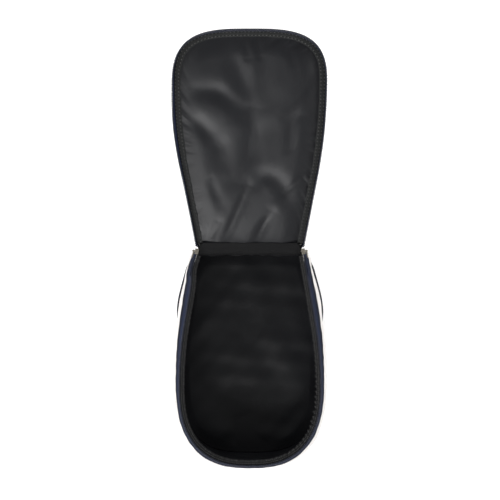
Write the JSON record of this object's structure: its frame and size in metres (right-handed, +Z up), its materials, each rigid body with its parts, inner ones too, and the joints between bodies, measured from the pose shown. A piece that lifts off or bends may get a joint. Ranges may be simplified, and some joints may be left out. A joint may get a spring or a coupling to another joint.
{
  "type": "shoe bag",
  "caption": "Zip-around shoe bag with rounded end, lying open on its back: padded walls, hinged lined lid, zip sliders with pull tabs and a rolled carry handle.",
  "frame": {"origin": "centre of the open bag's footprint, on the surface that it lies on", "axes": "+Z up; +Y from the curved end of the body towards the far edge of the opened lid; +X to the right of someone facing +Y"},
  "size_m": [0.2354, 0.6602, 0.2246],
  "materials": {
    "leatherette": "white grained leatherette, satin",
    "back_cloth": "navy twill cloth",
    "piping": "navy piping",
    "zip_tape": "navy twill-woven zip tape",
    "zip_coil": "navy nylon coil",
    "lining": "charcoal black satin twill",
    "binding": "dark grey grosgrain",
    "foam": "open-cell foam",
    "board": "thin plastic board",
    "webbing": "navy webbing",
    "nickel": "pale nickel, polished"
  },
  "bodies": {
    "body": {"back_panel": "back_cloth", "back_board": "board", "back_foam": "foam", "back_lining": "lining", "back_piping": "piping", "base_panel": "leatherette", "side_panel_right": "leatherette", "side_panel_left": "leatherette", "end_panel": "leatherette", "wall_foam": "foam", "base_board": "board", "wall_lining": "lining", "side_piping_right": "piping", "side_piping_left": "piping", "body_zip_tape": "zip_tape", "body_zip_coil": "zip_coil", "rim_binding": "binding", "hinge_lining_body": "lining", "hinge_spine_body": "back_cloth", "handle_patch_right": "webbing", "handle_patch_left": "webbing"},
    "handle": {"handle_strap": "webbing", "handle_grip": "leatherette"},
    "lid": {"lid_zip_coil": "zip_coil", "lid_zip_tape": "zip_tape", "lid_piping": "piping", "lid_binding": "binding", "lid_lining": "lining", "lid_foam": "foam", "lid_shell": "leatherette", "hinge_lining_lid": "lining", "hinge_spine_lid": "back_cloth"},
    "slider_right": {"zip_slider_right": "nickel"},
    "puller_right": {"pull_link_right": "nickel", "pull_tab_right": "webbing"},
    "slider_left": {"zip_slider_left": "nickel"},
    "puller_left": {"pull_link_left": "nickel", "pull_tab_left": "webbing"}
  },
  "joints": [
    {"name": "lid_hinge", "type": "hinge", "parent": "body", "child": "lid", "pos_m": [0, 0.01586, 0.125], "axis": [1, 0, 0], "range_deg": [0, 162]},
    {"name": "handle_swing", "type": "hinge", "parent": "body", "child": "handle", "pos_m": [0, -0.32134, 0.04], "axis": [-1, 0, 0], "range_deg": [0, 100]},
    {"name": "zip_right_slide", "type": "slide", "parent": "body", "child": "slider_right", "axis": [0.1676, -0.9859, 0], "range_m": [0, 0.095]},
    {"name": "pull_right_swing", "type": "hinge", "parent": "slider_right", "child": "puller_right", "pos_m": [0.08487, 0.01464, 0.1225], "axis": [0, 0, 1], "range_deg": [0, 150]},
    {"name": "zip_left_slide", "type": "slide", "parent": "body", "child": "slider_left", "axis": [-0.1676, -0.9859, 0], "range_m": [0, 0.095]},
    {"name": "pull_left_swing", "type": "hinge", "parent": "slider_left", "child": "puller_left", "pos_m": [-0.08487, 0.01464, 0.1225], "axis": [0, 0, -1], "range_deg": [0, 150]}
  ]
}
